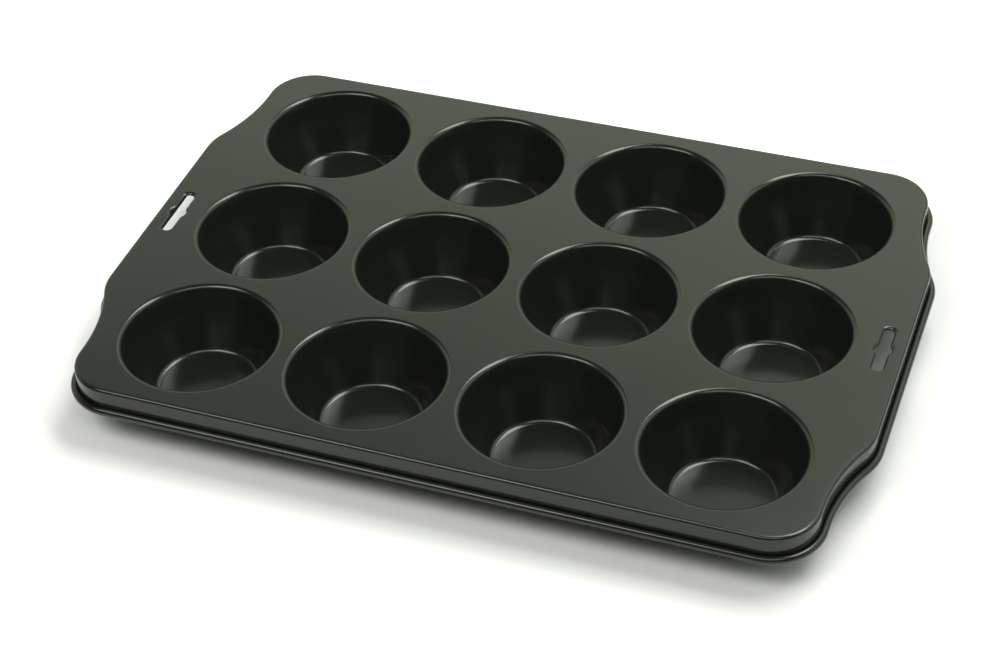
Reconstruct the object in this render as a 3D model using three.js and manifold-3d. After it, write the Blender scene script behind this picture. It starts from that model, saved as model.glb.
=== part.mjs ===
// Twelve-cup muffin pan of coated sheet steel, in millimetres, +Z up.
// The origin is the middle of the cup grid, on the surface that the cups stand on.
// The long side runs along X. Row 1 is the rear row (+Y), column 1 the left column (-X).
import * as THREE from 'three';
import { mergeVertices } from 'three/addons/utils/BufferGeometryUtils.js';
import Module from 'manifold-3d';

// Sheet and fits
const SHEET = 0.6; // thickness of the deck and of the cups
const SEAT_GAP = 0.3; // clearance between two pieces that seat on each other
const LAP = 1.2; // width over which a formed edge runs into the flat deck

// Cup grid
const ROWS = 3;
const COLUMNS = 4;
const LAND = 5.8; // flat strip between two neighbouring mouths

// Cup
const CUP_DEPTH = 29.4; // deck top to the inside of the cup floor
const MOUTH_RADIUS = 37.1; // where the flat deck starts to roll into the cup
const MOUTH_ROLL = 2.6; // radius of that roll on the upper side
const FLOOR_FLAT = 21.6; // radius of the flat floor inside
const FLOOR_FILLET = 3; // inside radius between floor and wall
const FLANGE = 1.6; // width of the cup's flange under the deck

// Deck outline, at the line where its edge starts to turn down
const LONG_MARGIN = 7; // outer row of mouths to a long side
const SHORT_MARGIN = 8.7; // outer column of mouths to a short side, beside the ear
const CORNER = 20;
const SIDE_FLAT = 2; // straight bit of the short side between corner and ear
const EAR_RISE = 11.4; // how far an ear stands out from the short side
const EAR_RUN = 50; // length along the side over which it does so
const EAR_SHOULDER = 0.22; // the shoulder's share of that curve, the rest is the hollow

// Rim: the deck's edge, its skirt and the bead rolled outward round the wire
const EDGE_ROLL = 1.5; // radius between deck and skirt on the outside
const BEAD_DROP = 11; // deck top to the middle of the bead
const BEAD_RADIUS = 1.85;
const BEAD_WRAP = THREE.MathUtils.degToRad(302); // how far the sheet goes round the wire

// Hang slot in each ear: a long slot with a round bulge in the middle
const SLOT_INSET = 8; // slot middle to the edge of the ear
const SLOT_LENGTH = 28.5;
const SLOT_WIDTH = 5;
const SLOT_BULGE = 3.8; // radius of the bulge
const SLOT_BLEND = 4; // hollow radius from the bulge into the slot's sides
const SLOT_ROLL = 1.8; // radius of the lip that dishes its edge, on the upper side
const SLOT_DISH = THREE.MathUtils.degToRad(60); // how far that lip turns down

// Smoothness, in steps
const ROUND_STEPS = 24; // round a mouth or a cup
const ROLL_STEPS = 3; // across the roll of a mouth
const BEND_STEPS = 2; // across a small bend
const HIDDEN_STEPS = 1; // across a bend between deck and cup that nothing shows
const BEAD_STEPS = 8; // round the bead
const WIRE_SIDES = 6;
const CORNER_STEPS = 4;
const FLANK_STEPS = 2; // along the shoulder of an ear
const HOLLOW_STEPS = 3; // along the hollow beside it
const SLOT_STEPS = 3; // along each curve of a slot

// Finish
const COATING = { color: 0x45463f, roughness: 0.38, metalness: 0.2 };
const BARE_STEEL = { color: 0x8f8f8c, roughness: 0.45, metalness: 1 };

// Derived sizes. Heights count from the deck top, radii from a cup's axis.
const DECK_TOP = CUP_DEPTH + SHEET;
const RIGHT = Math.PI / 2;
const PITCH = 2 * MOUTH_RADIUS + LAND;
const HALF_WIDTH = ((ROWS - 1) / 2) * PITCH + MOUTH_RADIUS + LONG_MARGIN;
const WAIST_REACH = ((COLUMNS - 1) / 2) * PITCH + MOUTH_RADIUS + SHORT_MARGIN;
const EAR_REACH = WAIST_REACH + EAR_RISE;
const ROLL_CENTRE = new THREE.Vector2(MOUTH_RADIUS, -MOUTH_ROLL);
const FILLET_CENTRE = new THREE.Vector2(FLOOR_FLAT, FLOOR_FILLET - CUP_DEPTH);
const CUP_ROLL = MOUTH_ROLL - SHEET - SEAT_GAP; // the cup's own roll nests under the deck's
const BEAD_CENTRE = new THREE.Vector2(EDGE_ROLL - SHEET + BEAD_RADIUS, -BEAD_DROP);
const BEAD_BORE = (BEAD_RADIUS - SHEET) * Math.cos(BEAD_WRAP / BEAD_STEPS / 2);
const WIRE_RADIUS = BEAD_BORE - SEAT_GAP;
const SLOT_RUN = SLOT_ROLL * Math.sin(SLOT_DISH);

// The wall's lean from upright, so that it runs tangent from the cup's roll into its fillet
const reach = ROLL_CENTRE.clone().sub(FILLET_CENTRE);
const DRAFT = Math.acos((CUP_ROLL + FLOOR_FILLET) / reach.length()) - reach.angle();

const wasm = await Module();
wasm.setup();

// Points on an arc in a section plane
function arc(centre, radius, from, to, steps) {
  const points = [];
  for (let i = 0; i <= steps; i++) {
    const angle = from + ((to - from) * i) / steps;
    points.push(new THREE.Vector2(Math.cos(angle), Math.sin(angle)).multiplyScalar(radius).add(centre));
  }
  return points;
}

// One station of a loop: a point and the outward direction there
function station(point, outward) {
  return { point, outward };
}

// Stations on an arc of a loop. A hollow arc curves the other way, so its outside faces its centre.
function bow(centre, radius, from, to, steps, hollow = false) {
  const side = hollow ? -1 : 1;
  return arc(centre, radius, from, to, steps).map((point) =>
    station(point, point.clone().sub(centre).multiplyScalar(side / radius)));
}

// A loop with two mirror lines, counterclockwise, from the quarter where x and y are positive
function mirrored(quarter) {
  const flip = (stations, x, y) => stations.map(({ point, outward }) =>
    station(new THREE.Vector2(point.x * x, point.y * y), new THREE.Vector2(outward.x * x, outward.y * y)));
  const back = [...quarter].reverse();
  return [...quarter, ...flip(back, -1, 1), ...flip(quarter, -1, -1), ...flip(back, 1, -1)];
}

// The loop moved outward by a distance
function grown(loop, distance) {
  return loop.map(({ point, outward }) => point.clone().addScaledVector(outward, distance));
}

// A closed section carried round a loop: x of the section goes outward, y up
function carried(loop, section) {
  const positions = [];
  const index = [];
  const count = section.length;
  for (const { point, outward } of loop) {
    for (const { x, y } of section) {
      positions.push(point.x + outward.x * x, point.y + outward.y * x, y);
    }
  }
  for (let i = 0; i < loop.length; i++) {
    const next = (i + 1) % loop.length;
    for (let j = 0; j < count; j++) {
      const up = (j + 1) % count;
      index.push(i * count + j, next * count + j, next * count + up);
      index.push(i * count + j, next * count + up, i * count + up);
    }
  }
  const geometry = new THREE.BufferGeometry();
  geometry.setAttribute('position', new THREE.Float32BufferAttribute(positions, 3));
  geometry.setIndex(index);
  return geometry;
}

// A section turned about the Z axis
function turned(section) {
  return new THREE.LatheGeometry(section, ROUND_STEPS).rotateX(RIGHT);
}

// A closed geometry as a solid that can be joined
function solid(geometry) {
  const bare = geometry.clone();
  bare.deleteAttribute('normal');
  bare.deleteAttribute('uv');
  const merged = mergeVertices(bare);
  const vertProperties = new Float32Array(merged.attributes.position.array);
  const triVerts = new Uint32Array(merged.index.array);
  return new wasm.Manifold(new wasm.Mesh({ numProp: 3, vertProperties, triVerts }));
}

// A joined solid as a geometry again
function geometryOf(body) {
  const { vertProperties, triVerts } = body.getMesh();
  const geometry = new THREE.BufferGeometry();
  geometry.setAttribute('position', new THREE.BufferAttribute(vertProperties, 3));
  geometry.setIndex(new THREE.BufferAttribute(triVerts, 1));
  geometry.computeVertexNormals();
  return geometry;
}

// Middles of the cups, row by row
function cupMiddles() {
  const middles = [];
  for (let row = 1; row <= ROWS; row++) {
    for (let column = 1; column <= COLUMNS; column++) {
      const x = (column - (COLUMNS + 1) / 2) * PITCH;
      const y = ((ROWS + 1) / 2 - row) * PITCH;
      middles.push({ name: `cup_r${row}_c${column}`, x, y });
    }
  }
  return middles;
}

// Deck outline: ear, shoulder, hollow, short side, corner and long side
function deckLoop() {
  const slope = 2 * Math.atan2(EAR_RISE, EAR_RUN);
  const bends = EAR_RUN / Math.sin(slope);
  const shoulder = bends * EAR_SHOULDER;
  const hollow = bends - shoulder;
  const earEnd = HALF_WIDTH - CORNER - SIDE_FLAT;
  const shoulderCentre = new THREE.Vector2(EAR_REACH - shoulder, earEnd - EAR_RUN);
  const hollowCentre = new THREE.Vector2(WAIST_REACH + hollow, earEnd);
  const cornerCentre = new THREE.Vector2(WAIST_REACH - CORNER, HALF_WIDTH - CORNER);
  return mirrored([
    ...bow(shoulderCentre, shoulder, 0, slope, FLANK_STEPS),
    ...bow(hollowCentre, hollow, Math.PI + slope, Math.PI, HOLLOW_STEPS, true).slice(1),
    ...bow(cornerCentre, CORNER, 0, RIGHT, CORNER_STEPS),
  ]);
}

// Clear outline of a hang slot about its own middle
function slotLoop() {
  const side = SLOT_WIDTH / 2;
  const spread = SLOT_BULGE + SLOT_BLEND;
  const blend = new THREE.Vector2(side + SLOT_BLEND, 0);
  blend.y = Math.sqrt(spread ** 2 - blend.x ** 2);
  const turn = blend.angle();
  const tip = new THREE.Vector2(0, SLOT_LENGTH / 2 - side);
  const bulge = bow(new THREE.Vector2(), SLOT_BULGE, 0, turn, SLOT_STEPS - 1);
  return mirrored([
    ...bulge,
    ...bow(blend, SLOT_BLEND, Math.PI + turn, Math.PI, SLOT_STEPS - 1, true).slice(1),
    ...bow(tip, side, 0, RIGHT, SLOT_STEPS),
  ]);
}

// Section of the sheet that rolls from the deck into a cup mouth
function mouthSection() {
  const upper = arc(ROLL_CENTRE, MOUTH_ROLL, RIGHT, Math.PI - DRAFT, ROLL_STEPS);
  const lower = arc(ROLL_CENTRE, MOUTH_ROLL - SHEET, Math.PI - DRAFT, RIGHT, BEND_STEPS);
  const lap = MOUTH_RADIUS + LAP;
  const start = new THREE.Vector2(lap, -SHEET);
  return [start, new THREE.Vector2(lap, 0), ...upper, ...lower, start.clone()];
}

// Section of a cup: outer skin up to the flange, then the inner skin down again
function cupSection() {
  const seat = -SHEET - SEAT_GAP;
  const tip = MOUTH_RADIUS + FLANGE;
  return [
    new THREE.Vector2(0, -CUP_DEPTH - SHEET),
    ...arc(FILLET_CENTRE, FLOOR_FILLET + SHEET, -RIGHT, -DRAFT, BEND_STEPS),
    ...arc(ROLL_CENTRE, CUP_ROLL - SHEET, Math.PI - DRAFT, RIGHT, HIDDEN_STEPS),
    new THREE.Vector2(tip, seat - SHEET),
    new THREE.Vector2(tip, seat),
    ...arc(ROLL_CENTRE, CUP_ROLL, RIGHT, Math.PI - DRAFT, BEND_STEPS),
    ...arc(FILLET_CENTRE, FLOOR_FILLET, -DRAFT, -RIGHT, BEND_STEPS),
    new THREE.Vector2(0, -CUP_DEPTH),
  ];
}

// Section of the rim: deck edge, skirt, and bead rolled outward and up round the wire
function rimSection() {
  const edge = new THREE.Vector2(0, -EDGE_ROLL);
  const wrap = Math.PI + BEAD_WRAP;
  const inside = [
    new THREE.Vector2(-LAP, -SHEET),
    ...arc(edge, EDGE_ROLL - SHEET, RIGHT, 0, BEND_STEPS),
    ...arc(BEAD_CENTRE, BEAD_RADIUS, Math.PI, wrap, BEAD_STEPS),
  ];
  const outside = [
    new THREE.Vector2(-LAP, 0),
    ...arc(edge, EDGE_ROLL, RIGHT, 0, BEND_STEPS),
    ...arc(BEAD_CENTRE, BEAD_RADIUS - SHEET, Math.PI, wrap, BEAD_STEPS),
  ];
  return [...inside, ...outside.reverse()];
}

// Section of the lip dished round a hang slot
function lipSection() {
  const roll = new THREE.Vector2(SLOT_RUN, -SLOT_ROLL);
  const end = RIGHT + SLOT_DISH;
  return [
    new THREE.Vector2(SLOT_RUN + LAP, -SHEET),
    new THREE.Vector2(SLOT_RUN + LAP, 0),
    ...arc(roll, SLOT_ROLL, RIGHT, end, BEND_STEPS),
    ...arc(roll, SLOT_ROLL - SHEET, end, RIGHT, BEND_STEPS),
  ];
}

// Deck: flat sheet with its mouths, hang slots and rim formed on it
function deckGeometry(rim) {
  const slot = slotLoop();
  const slotMiddles = [EAR_REACH - SLOT_INSET, SLOT_INSET - EAR_REACH];
  const flat = new THREE.Shape(grown(rim, 0));
  const formed = [solid(carried(rim, rimSection()))];
  for (const { x, y } of cupMiddles()) {
    flat.holes.push(new THREE.Path().absarc(x, y, MOUTH_RADIUS, 0, 2 * Math.PI));
    formed.push(solid(turned(mouthSection()).translate(x, y, 0)));
  }
  for (const x of slotMiddles) {
    const middle = new THREE.Vector2(x, 0);
    flat.holes.push(new THREE.Path(grown(slot, SLOT_RUN).map((point) => point.add(middle))));
    formed.push(solid(carried(slot, lipSection()).translate(x, 0, 0)));
  }
  const curveSegments = ROUND_STEPS / 2;
  const plate = new THREE.ExtrudeGeometry(flat, { depth: SHEET, bevelEnabled: false, curveSegments });
  const sheet = formed.reduce((body, edge) => body.add(edge), solid(plate.translate(0, 0, -SHEET)));
  return geometryOf(sheet.asOriginal().simplify());
}

// Rim wire: one round wire inside the bead
function wireGeometry(rim) {
  const ring = arc(BEAD_CENTRE, WIRE_RADIUS, 0, 2 * Math.PI, WIRE_SIDES).slice(0, WIRE_SIDES);
  return carried(rim, ring);
}

function piece(name, geometry, finish) {
  const mesh = new THREE.Mesh(geometry, new THREE.MeshStandardMaterial(finish));
  mesh.name = name;
  return mesh;
}

// The pan. All pieces are drawn from the deck top, which stands one cup above the origin.
const pan = new THREE.Group();
pan.position.z = DECK_TOP;
const rim = deckLoop();
pan.add(piece('deck', deckGeometry(rim), COATING));
for (const { name, x, y } of cupMiddles()) {
  const cup = piece(name, turned(cupSection()), COATING);
  cup.position.set(x, y, 0);
  pan.add(cup);
}
pan.add(piece('rim_wire', wireGeometry(rim), BARE_STEEL));

export default pan;
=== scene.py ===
"""Looks of a twelve-cup muffin pan: pressed deck, drawn cups, rim wire and a small studio."""
import logging
import math
from dataclasses import dataclass, field
from enum import Enum
from typing import Any, Iterable, Sequence

import bmesh
import bpy
from mathutils import Matrix, Vector


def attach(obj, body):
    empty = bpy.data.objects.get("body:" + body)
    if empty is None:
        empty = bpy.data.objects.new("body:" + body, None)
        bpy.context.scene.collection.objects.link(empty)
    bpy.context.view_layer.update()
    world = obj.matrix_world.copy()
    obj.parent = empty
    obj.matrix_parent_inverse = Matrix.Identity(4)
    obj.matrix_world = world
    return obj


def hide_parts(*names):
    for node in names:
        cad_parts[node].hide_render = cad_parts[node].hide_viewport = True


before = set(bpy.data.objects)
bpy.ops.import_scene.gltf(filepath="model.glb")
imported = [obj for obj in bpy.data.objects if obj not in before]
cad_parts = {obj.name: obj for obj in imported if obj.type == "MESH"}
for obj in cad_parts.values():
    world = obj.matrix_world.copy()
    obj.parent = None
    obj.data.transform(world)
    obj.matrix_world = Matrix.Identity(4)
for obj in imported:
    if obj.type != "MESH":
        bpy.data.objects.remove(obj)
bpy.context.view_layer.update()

MM = 0.001
RIGHT_ANGLE = math.pi / 2
SAME_PLACE = 1e-6
WHITE = "#ffffff"
LOG = logging.getLogger("muffin_pan")

Point = tuple[float, float]
Ring = list[bmesh.types.BMVert]
Link = tuple[str, bpy.types.NodeSocket]


class Slot(Enum):
    """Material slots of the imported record."""

    COATED_STEEL = "coated_steel"
    WIRE_STEEL = "wire_steel"


class Side(Enum):
    """The two short ends of the pan, as a sign along X."""

    LEFT = -1
    RIGHT = 1


@dataclass(frozen=True)
class Station:
    """One place on a closed loop in plan, in millimetres.

    Args:
        x: Place along the long side.
        y: Place along the short side.
        out_x: Outward direction along the long side.
        out_y: Outward direction along the short side.
    """

    x: float
    y: float
    out_x: float
    out_y: float

    def moved(self, distance: float) -> Point:
        """Returns the place that lies a distance outward from this one."""
        return (self.x + self.out_x * distance, self.y + self.out_y * distance)


def linear(hex_colour: str) -> tuple[float, float, float, float]:
    """Turns an sRGB hex colour to linear.

    Args:
        hex_colour: Six hex digits, with or without a leading #.

    Returns:
        Linear red, green, blue and an alpha of 1.
    """
    digits = hex_colour.lstrip("#")
    shares = [int(digits[i:i + 2], 16) / 255 for i in (0, 2, 4)]
    red, green, blue = (s / 12.92 if s <= 0.04045 else ((s + 0.055) / 1.055) ** 2.4
                        for s in shares)
    return (red, green, blue, 1.0)


def add_node(tree: bpy.types.NodeTree, kind: str, settings: dict[str, Any] | None = None,
             links: Iterable[Link] = ()) -> bpy.types.Node:
    """Adds a node with its settings and links.

    Args:
        tree: The node tree that gets the node.
        kind: Blender's name of the node type.
        settings: Values by property name, or by input socket name or identifier.
        links: Pairs of this node's input name or identifier and the output that feeds it.

    Returns:
        The new node.
    """
    node = tree.nodes.new(kind)
    sockets = {socket.name: socket for socket in reversed(node.inputs)}
    sockets.update({socket.identifier: socket for socket in node.inputs})
    for name, value in (settings or {}).items():
        if name in sockets:
            sockets[name].default_value = value
        else:
            setattr(node, name, value)
    for name, source in links:
        tree.links.new(source, sockets[name])
    return node


def noise(tree: bpy.types.NodeTree, place: bpy.types.NodeSocket, width: float, detail: float,
          roughness: float = 0.5) -> bpy.types.NodeSocket:
    """Adds soft noise of a real size.

    Args:
        tree: The node tree that gets it.
        place: Coordinates that it follows, in metres.
        width: Width of one cloud of it, in millimetres.
        detail: Number of finer layers.
        roughness: Weight of the finer layers.

    Returns:
        The noise, from 0 to 1.
    """
    settings = {"Scale": 1 / (width * MM), "Detail": detail, "Roughness": roughness}
    return add_node(tree, "ShaderNodeTexNoise", settings, [("Vector", place)]).outputs["Fac"]


def blank_material(name: str) -> bpy.types.Material:
    """Returns a new material with an empty node tree."""
    made = bpy.data.materials.new(name)
    made.use_nodes = True
    made.node_tree.nodes.clear()
    return made


def arc(centre: Point, radius: float, start: float, end: float, steps: int) -> list[Point]:
    """Points on an arc.

    Args:
        centre: Middle of the arc.
        radius: Its radius.
        start: Angle of the first point, in radians.
        end: Angle of the last point, in radians.
        steps: Number of steps between them.

    Returns:
        The points, first and last included.
    """
    angles = [start + (end - start) * i / steps for i in range(steps + 1)]
    return [(centre[0] + radius * math.cos(a), centre[1] + radius * math.sin(a)) for a in angles]


def bow(centre: Point, radius: float, start: float, end: float, steps: int,
        hollow: bool = False) -> list[Station]:
    """Stations on an arc of a loop.

    Args:
        centre: Middle of the arc.
        radius: Its radius.
        start: Angle of the first station, in radians.
        end: Angle of the last station, in radians.
        steps: Number of steps between them.
        hollow: True where the outside of the loop faces the arc's middle.

    Returns:
        The stations, first and last included.
    """
    turn = -1 if hollow else 1
    return [Station(x, y, turn * (x - centre[0]) / radius, turn * (y - centre[1]) / radius)
            for x, y in arc(centre, radius, start, end, steps)]


def mirrored(quarter: Sequence[Station]) -> list[Station]:
    """A loop with two mirror lines.

    Args:
        quarter: Its stations where x and y are positive, counterclockwise.

    Returns:
        The whole loop, counterclockwise.
    """
    def flip(stations: Iterable[Station], sx: int, sy: int) -> list[Station]:
        """Mirrors stations by a sign along each axis."""
        return [Station(s.x * sx, s.y * sy, s.out_x * sx, s.out_y * sy) for s in stations]

    back = list(reversed(quarter))
    return [*quarter, *flip(back, -1, 1), *flip(quarter, -1, -1), *flip(back, 1, -1)]


def shifted(loop: Iterable[Station], x: float, y: float) -> list[Station]:
    """Moves a loop in plan and returns it."""
    return [Station(s.x + x, s.y + y, s.out_x, s.out_y) for s in loop]


@dataclass
class SheetMesh:
    """Collects the skins of formed sheet steel and turns them into one object.

    Args:
        height: Height of the sheet's upper side above the table, in millimetres.
        flat_weight: How far large faces lead the smooth normals, from 0 to 100.
        mesh: The mesh that collects the skins.
    """

    height: float
    flat_weight: int = 100
    mesh: bmesh.types.BMesh = field(default_factory=bmesh.new)

    def ring(self, loop: Sequence[Station], offset: float, level: float) -> Ring:
        """Adds one ring of points round a loop.

        Args:
            loop: The loop to follow.
            offset: Distance outward from it, in millimetres.
            level: Height above the sheet's upper side, in millimetres.

        Returns:
            The new points.
        """
        z = (self.height + level) * MM
        places = [station.moved(offset) for station in loop]
        return [self.mesh.verts.new((x * MM, y * MM, z)) for x, y in places]

    def skin(self, loop: Sequence[Station], section: Sequence[Point],
             closed: bool = False) -> list[Ring]:
        """Carries a section round a loop.

        Args:
            loop: The loop to follow, counterclockwise.
            section: Offset and level of each ring, counterclockwise in section.
            closed: True where the last ring joins the first.

        Returns:
            The rings of points.
        """
        rings = [self.ring(loop, offset, level) for offset, level in section]
        count = len(loop)
        pairs = list(zip(rings, rings[1:]))
        if closed:
            pairs.append((rings[-1], rings[0]))
        for low, high in pairs:
            for i in range(count):
                j = (i + 1) % count
                self.mesh.faces.new((low[i], low[j], high[j], high[i]))
        return rings

    def cap(self, ring: Ring, upward: bool) -> None:
        """Closes a ring with a fan round its middle.

        Args:
            ring: The points to close.
            upward: True where the fan faces up.
        """
        middle = self.mesh.verts.new(sum((v.co for v in ring), Vector()) / len(ring))
        for i, here in enumerate(ring):
            there = ring[(i + 1) % len(ring)]
            self.mesh.faces.new((here, there, middle) if upward else (there, here, middle))

    def fill(self, rings: Iterable[Ring], upward: bool) -> None:
        """Fills the flat area between one outer ring and the rings inside it.

        Args:
            rings: The rings that bound the flat.
            upward: True where the flat faces up.
        """
        edges = []
        for ring in rings:
            for i, here in enumerate(ring):
                ends = (here, ring[(i + 1) % len(ring)])
                edges.append(self.mesh.edges.get(ends) or self.mesh.edges.new(ends))
        made = bmesh.ops.triangle_fill(self.mesh, use_beauty=True, use_dissolve=False, edges=edges)
        for item in made["geom"]:
            if isinstance(item, bmesh.types.BMFace):
                item.normal_update()
                if (item.normal.z > 0) != upward:
                    item.normal_flip()

    def finish(self, name: str) -> bpy.types.Object:
        """Turns the collected skins into a smooth object.

        Args:
            name: Name of the piece.

        Returns:
            The linked object.
        """
        data = bpy.data.meshes.new(name)
        self.mesh.normal_update()
        self.mesh.to_mesh(data)
        self.mesh.free()
        for polygon in data.polygons:
            polygon.use_smooth = True
        piece = bpy.data.objects.new(name, data)
        bpy.context.scene.collection.objects.link(piece)
        evened = piece.modifiers.new("even_normals", "WEIGHTED_NORMAL")
        evened.weight = self.flat_weight
        return piece


@dataclass(frozen=True)
class NonStickCoating:
    """Baked-on non-stick coating, sprayed on cold-rolled steel.

    It gives a near-black body under a clear satin top, so the flat deck looks olive grey
    where it mirrors pale surroundings and the cups stay almost black. Spraying leaves a soft
    orange peel about a millimetre wide and a finer grain of fillers.

    Args:
        body: sRGB colour of the pigment.
        worn: sRGB colour where washing has dulled it.
        sheen: sRGB tint of the mirrored light.
        ior: Refractive index of the clear top.
        roughness: Mean roughness of the top.
        swing: How far the roughness goes either way with the washed patches.
        mottle: Width of the washed patches, in millimetres.
        peel: Width of the orange peel, in millimetres.
        peel_bump: Strength of the peel.
        peel_depth: Depth of the peel, in millimetres.
        grain: Width of the filler grain, in millimetres.
        grain_bump: Strength of the grain.
        grain_depth: Depth of the grain, in millimetres.
    """

    body: str = "#161815"
    worn: str = "#1a1c17"
    sheen: str = "#f6fcec"
    ior: float = 1.5
    roughness: float = 0.18
    swing: float = 0.04
    mottle: float = 38.0
    peel: float = 1.1
    peel_bump: float = 0.12
    peel_depth: float = 0.02
    grain: float = 0.35
    grain_bump: float = 0.10
    grain_depth: float = 0.01

    def material(self, name: str) -> bpy.types.Material:
        """Builds the coating.

        Args:
            name: Name of the material.

        Returns:
            The new material.
        """
        made = blank_material(name)
        tree = made.node_tree
        place = add_node(tree, "ShaderNodeTexCoord").outputs["Object"]
        patches = noise(tree, place, self.mottle, detail=3.0, roughness=0.55)
        peel = noise(tree, place, self.peel, detail=1.0)
        grain = noise(tree, place, self.grain, detail=2.0)
        colour = add_node(tree, "ShaderNodeMix", {
            "data_type": "RGBA", "A_Color": linear(self.body), "B_Color": linear(self.worn),
        }, [("Factor", patches)])
        gloss = add_node(tree, "ShaderNodeMapRange", {
            "To Min": self.roughness - self.swing, "To Max": self.roughness + self.swing,
        }, [("Value", patches)])
        soft = add_node(tree, "ShaderNodeBump", {
            "Strength": self.peel_bump, "Distance": self.peel_depth * MM,
        }, [("Height", peel)])
        fine = add_node(tree, "ShaderNodeBump", {
            "Strength": self.grain_bump, "Distance": self.grain_depth * MM,
        }, [("Height", grain), ("Normal", soft.outputs["Normal"])])
        # The mix node's third output is its colour
        shader = add_node(tree, "ShaderNodeBsdfPrincipled", {
            "IOR": self.ior, "Specular Tint": linear(self.sheen),
        }, [("Base Color", colour.outputs[2]), ("Roughness", gloss.outputs["Result"]),
            ("Normal", fine.outputs["Normal"])])
        add_node(tree, "ShaderNodeOutputMaterial", {}, [("Surface", shader.outputs["BSDF"])])
        return made


@dataclass(frozen=True)
class DrawnWire:
    """Bare drawn steel wire.

    Drawing through a die leaves a dull grey metal whose gloss varies from spot to spot.

    Args:
        metal: sRGB colour of the steel.
        roughness: Mean roughness.
        swing: How far the roughness goes either way.
        spot: Width of a duller spot, in millimetres.
    """

    metal: str = "#8d8c88"
    roughness: float = 0.42
    swing: float = 0.08
    spot: float = 0.4

    def material(self, name: str) -> bpy.types.Material:
        """Builds the wire's finish.

        Args:
            name: Name of the material.

        Returns:
            The new material.
        """
        made = blank_material(name)
        tree = made.node_tree
        place = add_node(tree, "ShaderNodeTexCoord").outputs["Object"]
        spots = noise(tree, place, self.spot, detail=2.0)
        gloss = add_node(tree, "ShaderNodeMapRange", {
            "To Min": self.roughness - self.swing, "To Max": self.roughness + self.swing,
        }, [("Value", spots)])
        shader = add_node(tree, "ShaderNodeBsdfPrincipled", {
            "Base Color": linear(self.metal), "Metallic": 1.0,
        }, [("Roughness", gloss.outputs["Result"])])
        add_node(tree, "ShaderNodeOutputMaterial", {}, [("Surface", shader.outputs["BSDF"])])
        return made


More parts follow.
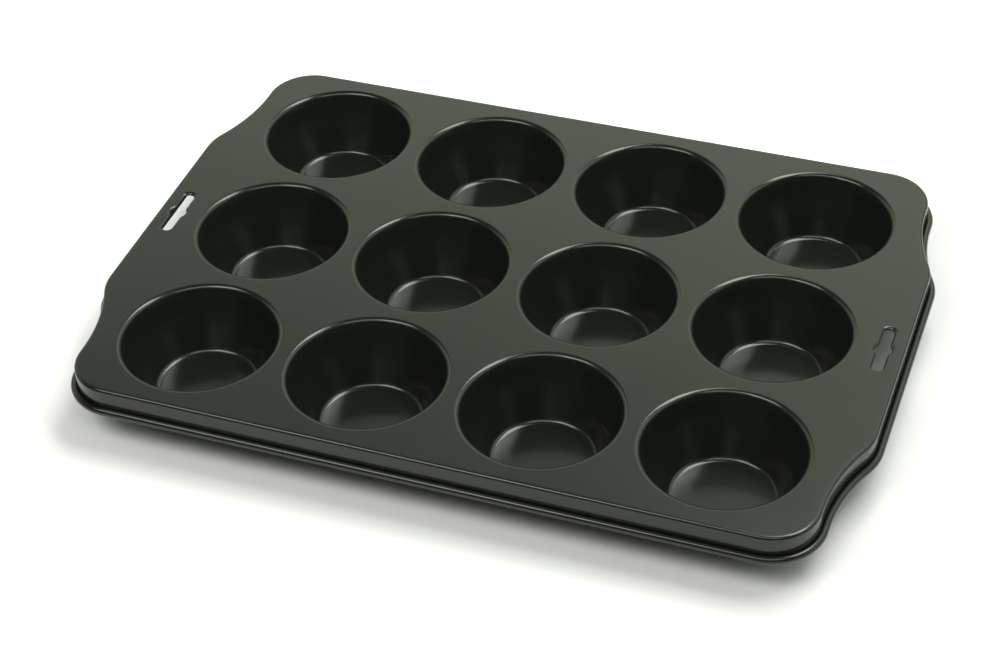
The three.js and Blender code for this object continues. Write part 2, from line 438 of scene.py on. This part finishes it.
@dataclass(frozen=True)
class PanLayout:
    """Sizes that several pieces share, in millimetres. Heights count from the deck's upper side.

    Args:
        sheet: Thickness of the deck and of the cups.
        seat_gap: Clearance between two pieces that seat on each other.
        rows: Number of rows of cups.
        columns: Number of columns of cups.
        land: Flat strip between two neighbouring mouths.
        cup_depth: Deck to the inside of the cup floor.
        mouth_radius: Where the flat deck starts to roll into a cup.
        mouth_roll: Radius of that roll on the upper side.
        floor_flat: Radius of a cup's flat floor.
        floor_fillet: Inside radius between floor and wall.
        long_margin: Outer row of mouths to a long side.
        short_margin: Outer column of mouths to a short side, beside the ear.
        corner: Corner radius of the deck.
        side_flat: Straight bit between corner and ear.
        ear_rise: How far an ear stands out from the short side.
        ear_run: Length over which it does so.
        ear_shoulder: The shoulder's share of that curve.
        edge_roll: Radius between deck and skirt.
        bead_drop: Deck to the middle of the bead.
        bead_radius: Outer radius of the bead.
        round_steps: Mesh steps round a mouth and its cup.
        corner_steps: Mesh steps round a corner of the deck.
        flank_steps: Mesh steps along each curve of an ear's flank.
    """

    sheet: float = 0.6
    seat_gap: float = 0.3
    rows: int = 3
    columns: int = 4
    land: float = 5.8
    cup_depth: float = 29.4
    mouth_radius: float = 37.1
    mouth_roll: float = 2.6
    floor_flat: float = 21.6
    floor_fillet: float = 3.0
    long_margin: float = 7.0
    short_margin: float = 8.7
    corner: float = 20.0
    side_flat: float = 2.0
    ear_rise: float = 11.4
    ear_run: float = 50.0
    ear_shoulder: float = 0.22
    edge_roll: float = 1.5
    bead_drop: float = 11.0
    bead_radius: float = 1.81
    round_steps: int = 96
    corner_steps: int = 24
    flank_steps: int = 14

    @property
    def deck_top(self) -> float:
        """Height of the deck above the table."""
        return self.cup_depth + self.sheet

    @property
    def pitch(self) -> float:
        """Distance between the middles of two neighbouring cups."""
        return 2 * self.mouth_radius + self.land

    @property
    def half_width(self) -> float:
        """Middle of the pan to the edge of a long side."""
        return (self.rows - 1) / 2 * self.pitch + self.mouth_radius + self.long_margin

    @property
    def waist_reach(self) -> float:
        """Middle of the pan to the edge of a short side, beside the ear."""
        return (self.columns - 1) / 2 * self.pitch + self.mouth_radius + self.short_margin

    @property
    def ear_reach(self) -> float:
        """Middle of the pan to the edge of an ear."""
        return self.waist_reach + self.ear_rise

    @property
    def cup_roll(self) -> float:
        """Radius of a cup's own roll, which nests under the deck's."""
        return self.mouth_roll - self.sheet - self.seat_gap

    @property
    def roll_centre(self) -> Point:
        """Middle of the mouth's roll: radius from the cup's axis, and height."""
        return (self.mouth_radius, -self.mouth_roll)

    @property
    def fillet_centre(self) -> Point:
        """Middle of the floor's fillet: radius from the cup's axis, and height."""
        return (self.floor_flat, self.floor_fillet - self.cup_depth)

    @property
    def bead_centre(self) -> Point:
        """Middle of the bead: distance outward from the deck's edge, and height."""
        return (self.edge_roll - self.sheet + self.bead_radius, -self.bead_drop)

    @property
    def draft(self) -> float:
        """Lean of a cup's wall from upright, in radians."""
        across = self.roll_centre[0] - self.fillet_centre[0]
        rise = self.roll_centre[1] - self.fillet_centre[1]
        lean = math.acos((self.cup_roll + self.floor_fillet) / math.hypot(across, rise))
        return lean - math.atan2(rise, across)

    def cup_middles(self) -> dict[str, Point]:
        """Returns the middle of each cup by its name, row by row."""
        return {f"cup_r{row}_c{column}": ((column - (self.columns + 1) / 2) * self.pitch,
                                          ((self.rows + 1) / 2 - row) * self.pitch)
                for row in range(1, self.rows + 1) for column in range(1, self.columns + 1)}

    def outline(self) -> list[Station]:
        """The deck's edge in plan.

        Returns:
            The loop, counterclockwise.
        """
        flank = self.flank_steps
        slope = 2 * math.atan2(self.ear_rise, self.ear_run)
        bends = self.ear_run / math.sin(slope)
        shoulder = bends * self.ear_shoulder
        hollow = bends - shoulder
        ear_end = self.half_width - self.corner - self.side_flat
        shoulder_centre = (self.ear_reach - shoulder, ear_end - self.ear_run)
        hollow_centre = (self.waist_reach + hollow, ear_end)
        corner_centre = (self.waist_reach - self.corner, self.half_width - self.corner)
        return mirrored([
            *bow(shoulder_centre, shoulder, 0, slope, flank),
            *bow(hollow_centre, hollow, math.pi + slope, math.pi, flank, hollow=True)[1:],
            *bow(corner_centre, self.corner, 0, RIGHT_ANGLE, self.corner_steps),
        ])


@dataclass
class Deck:
    """The pressed sheet with its twelve mouths, two hang slots and the rolled rim.

    Lengths are in millimetres.

    Args:
        layout: Sizes shared with the other pieces.
        lap: Width over which a formed edge runs into the flat.
        feather: Length over which the coating evens a mouth's edge into the cup's wall.
        feather_gap: Gap between the feather's tip and that wall.
        feather_edge: Thickness of its tip.
        feather_steps: Mesh steps along it.
        bead_wrap: How far the sheet goes round the wire, in degrees.
        slot_inset: Slot middle to the edge of the ear.
        slot_length: Clear length of a slot.
        slot_width: Clear width of a slot.
        slot_bulge: Radius of the round bulge in its middle.
        slot_blend: Hollow radius from the bulge into the slot's sides.
        slot_roll: Radius of the lip that dishes its edge, on the upper side.
        slot_dish: How far that lip turns down, in degrees.
    """

    layout: PanLayout
    lap: float = 1.2
    feather: float = 10.0
    feather_gap: float = 0.06
    feather_edge: float = 0.04
    feather_steps: int = 8
    bead_wrap: float = 302.0
    slot_inset: float = 8.0
    slot_length: float = 28.5
    slot_width: float = 5.0
    slot_bulge: float = 3.8
    slot_blend: float = 4.0
    slot_roll: float = 1.8
    slot_dish: float = 60.0

    def slot_loop(self, side: Side) -> list[Station]:
        """Clear outline of a hang slot.

        Args:
            side: The end of the pan that it's in.

        Returns:
            The loop, counterclockwise.
        """
        half = self.slot_width / 2
        blend_x = half + self.slot_blend
        blend_y = math.sqrt((self.slot_bulge + self.slot_blend) ** 2 - blend_x ** 2)
        turn = math.atan2(blend_y, blend_x)
        blend = (blend_x, blend_y)
        end = (0, self.slot_length / 2 - half)
        whole = mirrored([
            *bow((0, 0), self.slot_bulge, 0, turn, steps=8),
            *bow(blend, self.slot_blend, math.pi + turn, math.pi, steps=8, hollow=True)[1:],
            *bow(end, half, 0, RIGHT_ANGLE, steps=10),
        ])
        # Stations on the mirror lines come twice, and the last one is the first again
        later = [s for before, s in zip(whole, whole[1:]) if not self._same(s, before)]
        loop = [whole[0], *later[:-1]]
        return shifted(loop, side.value * (self.layout.ear_reach - self.slot_inset), 0)

    @staticmethod
    def _same(one: Station, other: Station) -> bool:
        """Tells whether two stations share a place."""
        return math.hypot(one.x - other.x, one.y - other.y) < SAME_PLACE

    def mouth_section(self) -> list[Point]:
        """Section of a mouth, which thins out along the cup's wall below its roll.

        Returns:
            Offsets and levels, from the flat's upper side round to its underside.
        """
        lay = self.layout
        centre = (0.0, -lay.mouth_roll)
        end = math.pi - lay.draft
        out = (math.cos(end), math.sin(end))
        run = (-math.sin(lay.draft), -math.cos(lay.draft))
        tip = lay.cup_roll + self.feather_gap
        edge = tip + self.feather_edge

        def beside(radius: float, share: float) -> Point:
            """Returns a place beside the wall, a share of the feather's length down."""
            return (out[0] * radius + run[0] * self.feather * share,
                    centre[1] + out[1] * radius + run[1] * self.feather * share)

        feathered = []
        for step in range(1, self.feather_steps + 1):
            share = step / self.feather_steps
            ease = share * share * (3 - 2 * share)
            feathered.append(beside(lay.mouth_roll + (edge - lay.mouth_roll) * ease, share))
        return [
            (self.lap, 0.0),
            *arc(centre, lay.mouth_roll, RIGHT_ANGLE, end, steps=12),
            *feathered,
            beside(tip, 1.0),
            *arc(centre, lay.mouth_roll - lay.sheet, end, RIGHT_ANGLE, steps=6),
            (self.lap, -lay.sheet),
        ]

    def rim_section(self) -> list[Point]:
        """Section of the rim: edge, skirt and bead.

        Returns:
            Offsets and levels, from the flat's underside round the bead to its upper side.
        """
        lay = self.layout
        edge = (0.0, -lay.edge_roll)
        bead = lay.bead_centre
        inside = lay.edge_roll - lay.sheet
        skirt_low = lay.bead_drop - 2 * lay.bead_radius
        wrap = math.pi + math.radians(self.bead_wrap)
        middle = lay.bead_radius - lay.sheet / 2
        cut = (bead[0] + middle * math.cos(wrap), bead[1] + middle * math.sin(wrap))
        return [
            (-self.lap, -lay.sheet),
            *arc(edge, inside, RIGHT_ANGLE, 0, steps=6),
            (inside, -skirt_low),
            *arc(bead, lay.bead_radius, math.pi, wrap, steps=40),
            *arc(cut, lay.sheet / 2, wrap, wrap + math.pi, steps=6)[1:-1],
            *arc(bead, lay.bead_radius - lay.sheet, wrap, math.pi, steps=24),
            (lay.edge_roll, -skirt_low),
            *arc(edge, lay.edge_roll, 0, RIGHT_ANGLE, steps=8),
            (-self.lap, 0.0),
        ]

    def lip_section(self) -> list[Point]:
        """Section of a slot's dished lip.

        Returns:
            Offsets and levels, from the flat's upper side round to its underside.
        """
        sheet = self.layout.sheet
        dish = math.radians(self.slot_dish)
        roll = (self.slot_roll * math.sin(dish), -self.slot_roll)
        end = RIGHT_ANGLE + dish
        middle = self.slot_roll - sheet / 2
        cut = (roll[0] + middle * math.cos(end), roll[1] + middle * math.sin(end))
        return [
            (roll[0] + self.lap, 0.0),
            *arc(roll, self.slot_roll, RIGHT_ANGLE, end, steps=8),
            *arc(cut, sheet / 2, end, end + math.pi, steps=6)[1:-1],
            *arc(roll, self.slot_roll - sheet, end, RIGHT_ANGLE, steps=6),
            (roll[0] + self.lap, -sheet),
        ]

    def build(self) -> bpy.types.Object:
        """Builds the formed deck.

        Returns:
            The closed object.
        """
        lay = self.layout
        sheet = SheetMesh(lay.deck_top)
        rim = sheet.skin(lay.outline(), self.rim_section())
        upper, lower = [rim[-1]], [rim[0]]
        mouth = bow((0, 0), lay.mouth_radius, 0, 2 * math.pi, lay.round_steps)[:-1]
        holes = [(shifted(mouth, x, y), self.mouth_section())
                 for x, y in lay.cup_middles().values()]
        holes += [(self.slot_loop(side), self.lip_section()) for side in Side]
        for loop, section in holes:
            rings = sheet.skin(loop, section)
            upper.append(rings[0])
            lower.append(rings[-1])
        sheet.fill(upper, upward=True)
        sheet.fill(lower, upward=False)
        return sheet.finish("deck_sheet")

    def dress(self, piece: bpy.types.Object, coating: bpy.types.Material) -> None:
        """Gives the deck its coating and its place in the frame.

        Args:
            piece: The built deck.
            coating: Its material.
        """
        piece.data.materials.append(coating)
        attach(piece, "root")
        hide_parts("deck")
        LOG.info("deck: %d faces", len(piece.data.polygons))


@dataclass
class Cup:
    """One drawn cup that hangs under a mouth of the deck.

    Args:
        layout: Sizes shared with the other pieces.
        flange: Width of the flange under the deck, in millimetres.
    """

    layout: PanLayout
    flange: float = 1.6

    def section(self) -> list[Point]:
        """Section of the cup.

        Returns:
            Radii and levels, up the outside to the flange and down the inside.
        """
        lay = self.layout
        lean = math.pi - lay.draft
        seat = -lay.sheet - lay.seat_gap
        tip = lay.mouth_radius + self.flange
        foot = lay.floor_fillet + lay.sheet
        return [
            *arc(lay.fillet_centre, foot, -RIGHT_ANGLE, -lay.draft, steps=12),
            *arc(lay.roll_centre, lay.cup_roll - lay.sheet, lean, RIGHT_ANGLE, steps=4),
            (tip, seat - lay.sheet),
            (tip, seat),
            *arc(lay.roll_centre, lay.cup_roll, RIGHT_ANGLE, lean, steps=4),
            *arc(lay.fillet_centre, lay.floor_fillet, -lay.draft, -RIGHT_ANGLE, steps=14),
        ]

    def build(self, name: str, middle: Point) -> bpy.types.Object:
        """Builds a cup in its place.

        Args:
            name: Name of the CAD node that it stands for.
            middle: Its axis in plan, in millimetres.

        Returns:
            The closed object.
        """
        sheet = SheetMesh(self.layout.deck_top)
        steps = self.layout.round_steps
        turns = [2 * math.pi * i / steps for i in range(steps)]
        axis = [Station(middle[0], middle[1], math.cos(a), math.sin(a)) for a in turns]
        rings = sheet.skin(axis, self.section())
        sheet.cap(rings[0], upward=False)
        sheet.cap(rings[-1], upward=True)
        return sheet.finish(f"{name}_shell")

    def dress(self, piece: bpy.types.Object, name: str, coating: bpy.types.Material) -> None:
        """Gives a cup its coating and its place in the frame.

        Args:
            piece: The built cup.
            name: Name of the CAD node that it stands for.
            coating: Its material.
        """
        piece.data.materials.append(coating)
        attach(piece, "root")
        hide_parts(name)
        LOG.info("%s: %d faces", name, len(piece.data.polygons))


@dataclass
class RimWire:
    """The round wire inside the rolled bead.

    Args:
        layout: Sizes shared with the other pieces.
        radius: Radius of the wire, in millimetres.
    """

    layout: PanLayout
    radius: float = 0.95

    def build(self) -> bpy.types.Object:
        """Builds the wire.

        Returns:
            The closed ring.
        """
        sheet = SheetMesh(self.layout.deck_top)
        section = arc(self.layout.bead_centre, self.radius, 0, 2 * math.pi, steps=12)[:-1]
        sheet.skin(self.layout.outline(), section, closed=True)
        return sheet.finish("rim_wire_drawn")

    def dress(self, piece: bpy.types.Object, steel: bpy.types.Material) -> None:
        """Gives the wire its finish and its place in the frame.

        Args:
            piece: The built wire.
            steel: Its material.
        """
        piece.data.materials.append(steel)
        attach(piece, "root")
        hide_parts("rim_wire")
        LOG.info("rim wire: %d faces", len(piece.data.polygons))


@dataclass(frozen=True)
class PaperSweep:
    """Matt white studio paper, which gives a plain floor that keeps a soft shadow.

    Far from the pan, the eye meets plain white, as on a paper sweep.

    Args:
        white: sRGB colour of the paper.
        roughness: Its roughness.
        fibre: Width of the paper's fibre clouds, in millimetres.
        fibre_bump: Strength of these clouds.
        fibre_depth: Their depth, in millimetres.
        reach: Half length and half width of the pan on it, in millimetres.
        near: Distance from the pan at which it starts to turn to plain white, in millimetres.
        far: Distance at which it is plain white, in millimetres.
        gain: Brightness that it has gained there.
    """

    white: str = "#ebebe8"
    roughness: float = 0.9
    fibre: float = 6.0
    fibre_bump: float = 0.05
    fibre_depth: float = 0.02
    reach: Point = (180.0, 128.0)
    near: float = 10.0
    far: float = 80.0
    gain: float = 0.6

    def material(self, name: str) -> bpy.types.Material:
        """Builds the paper.

        Args:
            name: Name of the material.

        Returns:
            The new material.
        """
        made = blank_material(name)
        tree = made.node_tree
        place = add_node(tree, "ShaderNodeTexCoord").outputs["Object"]
        felt = add_node(tree, "ShaderNodeBump", {
            "Strength": self.fibre_bump, "Distance": self.fibre_depth * MM,
        }, [("Height", noise(tree, place, self.fibre, detail=2.0))])
        # How far a place lies outside the pan's rectangle
        size = add_node(tree, "ShaderNodeVectorMath", {"operation": "ABSOLUTE"},
                        [("Vector", place)])
        beyond = add_node(tree, "ShaderNodeVectorMath", {
            "operation": "SUBTRACT",
            "Vector_001": (self.reach[0] * MM, self.reach[1] * MM, 0.0),
        }, [("Vector", size.outputs["Vector"])])
        outside = add_node(tree, "ShaderNodeVectorMath", {
            "operation": "MAXIMUM", "Vector_001": (0.0, 0.0, 0.0),
        }, [("Vector", beyond.outputs["Vector"])])
        apart = add_node(tree, "ShaderNodeVectorMath", {"operation": "LENGTH"},
                         [("Vector", outside.outputs["Vector"])])
        share = add_node(tree, "ShaderNodeMapRange", {
            "From Min": self.near * MM, "From Max": self.far * MM, "To Max": self.gain,
        }, [("Value", apart.outputs["Value"])])
        # Only what the eye sees turns white, so no light is added
        ray = add_node(tree, "ShaderNodeLightPath")
        white = add_node(tree, "ShaderNodeMath", {"operation": "MULTIPLY"}, [
            ("Value", share.outputs["Result"]), ("Value_001", ray.outputs["Is Camera Ray"]),
        ])
        shader = add_node(tree, "ShaderNodeBsdfPrincipled", {
            "Base Color": linear(self.white), "Roughness": self.roughness,
            "Emission Color": linear(WHITE),
        }, [("Normal", felt.outputs["Normal"]), ("Emission Strength", white.outputs["Value"])])
        add_node(tree, "ShaderNodeOutputMaterial", {}, [("Surface", shader.outputs["BSDF"])])
        return made


@dataclass(frozen=True)
class SoftBox:
    """One soft studio light, aimed at the pan.

    Args:
        name: Name of the light.
        bearing: Direction in plan, in degrees from +X.
        elevation: Height above the table, in degrees.
        distance: Distance from the pan, in metres.
        width: Width of the box, in metres.
        depth: Depth of the box, in metres.
        power: Power, in watts.
    """

    name: str
    bearing: float
    elevation: float
    distance: float
    width: float
    depth: float
    power: float

    def build(self, aim: Vector) -> bpy.types.Object:
        """Builds the light.

        Args:
            aim: The place that it faces.

        Returns:
            The linked light.
        """
        level = self.distance * math.cos(math.radians(self.elevation))
        bearing = math.radians(self.bearing)
        offset = Vector((level * math.cos(bearing), level * math.sin(bearing),
                         self.distance * math.sin(math.radians(self.elevation))))
        data = bpy.data.lights.new(self.name, "AREA")
        data.shape = "RECTANGLE"
        data.size = self.width
        data.size_y = self.depth
        data.energy = self.power
        light = bpy.data.objects.new(self.name, data)
        light.location = aim + offset
        light.rotation_euler = (-offset).to_track_quat("-Z", "Y").to_euler()
        bpy.context.scene.collection.objects.link(light)
        return light


@dataclass
class Studio:
    """Floor, pale surroundings, soft boxes and the camera of the photo.

    Args:
        floor_size: Side of the paper floor, in metres.
        back_colour: Colour of the surroundings, as sRGB hex.
        sensor_width: Width of the camera's sensor, in millimetres.
        focal_share: Focal length as a share of the picture's width.
        near_clip: Nearest distance that the camera sees, in metres.
        camera_place: Camera position, in metres.
        camera_aim: Direction that the camera looks in.
        camera_roll: Turn about that direction, in degrees.
        fade_base: Brightness of the backdrop, before it fades.
        fade_right: How much it gains toward the right.
        fade_up: How much it gains upward.
        gain_span: Sideways directions between which it gains.
        back_level: Its highest brightness.
        ceiling_level: Its lowest brightness.
        low_share: Share of it that is left near the table.
        low_span: Upward directions between which it comes to its full share.
        front_share: Share of it that the room in front of the pan has.
        front_span: Directions from front to back between which it comes to its full share.
        aim_height: Height of the place that the soft lights face, in metres.
        boxes: The soft lights.
    """

    floor_size: float = 6.0
    back_colour: str = "#f3ffe8"
    sensor_width: float = 36.0
    focal_share: float = 2253.9 / 984
    near_clip: float = 0.01
    camera_place: tuple[float, float, float] = (0.282482, -0.738850, 0.677972)
    camera_aim: tuple[float, float, float] = (-0.28128, 0.70515, -0.65089)
    camera_roll: float = -3.10
    fade_base: float = 6.45
    fade_right: float = 2.6
    fade_up: float = -7.3
    gain_span: Point = (-0.45, 0.0)
    back_level: float = 1.75
    ceiling_level: float = 0.1
    low_share: float = 0.23
    low_span: Point = (0.25, 0.55)
    front_share: float = 0.1
    front_span: Point = (-0.5, 0.3)
    aim_height: float = 0.03
    boxes: tuple[SoftBox, ...] = (
        SoftBox("right_box", bearing=49, elevation=65, distance=1.5,
                width=1.2, depth=0.46, power=17.0),
        SoftBox("left_box", bearing=232, elevation=54, distance=1.5,
                width=0.8, depth=0.6, power=8.5),
        SoftBox("front_box", bearing=284, elevation=60, distance=1.5,
                width=1.2, depth=0.6, power=6.5),
    )

    def build(self) -> None:
        """Sets up the floor, the surroundings, the lights and the camera."""
        self.floor()
        self.surroundings()
        for box in self.boxes:
            box.build(Vector((0, 0, self.aim_height)))
        self.camera()
        bpy.context.scene.view_settings.view_transform = "Standard"
        LOG.info("studio: %d soft boxes", len(self.boxes))

    def floor(self) -> None:
        """Lays the paper floor on the table's plane."""
        half = self.floor_size / 2
        data = bpy.data.meshes.new("paper_floor")
        corners = [(-half, -half, 0), (half, -half, 0), (half, half, 0), (-half, half, 0)]
        data.from_pydata(corners, [], [(0, 1, 2, 3)])
        floor = bpy.data.objects.new("paper_floor", data)
        bpy.context.scene.collection.objects.link(floor)
        data.materials.append(PaperSweep().material("matt_studio_paper"))

    def surroundings(self) -> None:
        """Sets pale surroundings: a lit backdrop that fades upward, and a dimmer room in front."""
        world = bpy.context.scene.world or bpy.data.worlds.new("studio")
        bpy.context.scene.world = world
        world.use_nodes = True
        tree = world.node_tree
        tree.nodes.clear()
        way = add_node(tree, "ShaderNodeTexCoord").outputs["Generated"]
        parts = add_node(tree, "ShaderNodeSeparateXYZ", {}, [("Vector", way)])
        # The backdrop gains from the left to its middle, and fades upward
        left = add_node(tree, "ShaderNodeClamp", {
            "Min": self.gain_span[0], "Max": self.gain_span[1],
        }, [("Value", parts.outputs["X"])])
        along = add_node(tree, "ShaderNodeMath", {
            "operation": "MULTIPLY_ADD", "Value_001": self.fade_right,
            "Value_002": self.fade_base,
        }, [("Value", left.outputs["Result"])])
        level = add_node(tree, "ShaderNodeMath", {
            "operation": "MULTIPLY_ADD", "Value_001": self.fade_up,
        }, [("Value", parts.outputs["Z"]), ("Value_002", along.outputs["Value"])])
        kept = add_node(tree, "ShaderNodeClamp", {
            "Min": self.ceiling_level, "Max": self.back_level,
        }, [("Value", level.outputs["Value"])])
        # It is dimmer in front of the pan and near the table
        behind = add_node(tree, "ShaderNodeMapRange", {
            "interpolation_type": "SMOOTHSTEP", "From Min": self.front_span[0],
            "From Max": self.front_span[1], "To Min": self.front_share,
        }, [("Value", parts.outputs["Y"])])
        low = add_node(tree, "ShaderNodeMapRange", {
            "interpolation_type": "SMOOTHSTEP", "From Min": self.low_span[0],
            "From Max": self.low_span[1], "To Min": self.low_share,
        }, [("Value", parts.outputs["Z"])])
        share = add_node(tree, "ShaderNodeMath", {"operation": "MULTIPLY"}, [
            ("Value", low.outputs["Result"]), ("Value_001", behind.outputs["Result"]),
        ])
        dimmed = add_node(tree, "ShaderNodeMath", {"operation": "MULTIPLY"}, [
            ("Value", kept.outputs["Result"]), ("Value_001", share.outputs["Value"]),
        ])
        lit = add_node(tree, "ShaderNodeBackground", {"Color": linear(self.back_colour)},
                       [("Strength", dimmed.outputs["Value"])])
        # Straight to the eye, the surroundings are plain white
        plain = add_node(tree, "ShaderNodeBackground", {"Color": linear(WHITE)})
        ray = add_node(tree, "ShaderNodeLightPath")
        sky = add_node(tree, "ShaderNodeMixShader", {}, [
            ("Fac", ray.outputs["Is Camera Ray"]), ("Shader", lit.outputs["Background"]),
            ("Shader_001", plain.outputs["Background"]),
        ])
        add_node(tree, "ShaderNodeOutputWorld", {}, [("Surface", sky.outputs["Shader"])])

    def camera(self) -> None:
        """Places the camera where the photo was taken from."""
        data = bpy.data.cameras.new("photo_view")
        data.sensor_fit = "HORIZONTAL"
        data.sensor_width = self.sensor_width
        data.lens = self.focal_share * data.sensor_width
        data.clip_start = self.near_clip
        forward = Vector(self.camera_aim).normalized()
        level = forward.cross(Vector((0, 0, 1))).normalized()
        upright = level.cross(forward)
        roll = math.radians(self.camera_roll)
        right = level * math.cos(roll) + upright * math.sin(roll)
        up = right.cross(forward)
        camera = bpy.data.objects.new("photo_view", data)
        turn = Matrix((right, up, -forward)).transposed().to_4x4()
        camera.matrix_world = Matrix.Translation(Vector(self.camera_place)) @ turn
        bpy.context.scene.collection.objects.link(camera)
        bpy.context.scene.camera = camera


def main() -> None:
    """Builds the pan and its studio."""
    logging.basicConfig(level=logging.INFO, format="%(name)s %(message)s")
    layout = PanLayout()
    coating = NonStickCoating().material("nonstick_coating_sprayed_on_steel")
    steel = DrawnWire().material("bare_steel_wire_drawn")
    deck = Deck(layout)
    deck.dress(deck.build(), coating)
    cup = Cup(layout)
    for name, middle in layout.cup_middles().items():
        cup.dress(cup.build(name, middle), name, coating)
    wire = RimWire(layout)
    wire.dress(wire.build(), steel)
    Studio().build()


if __name__ == "__main__":
    main()
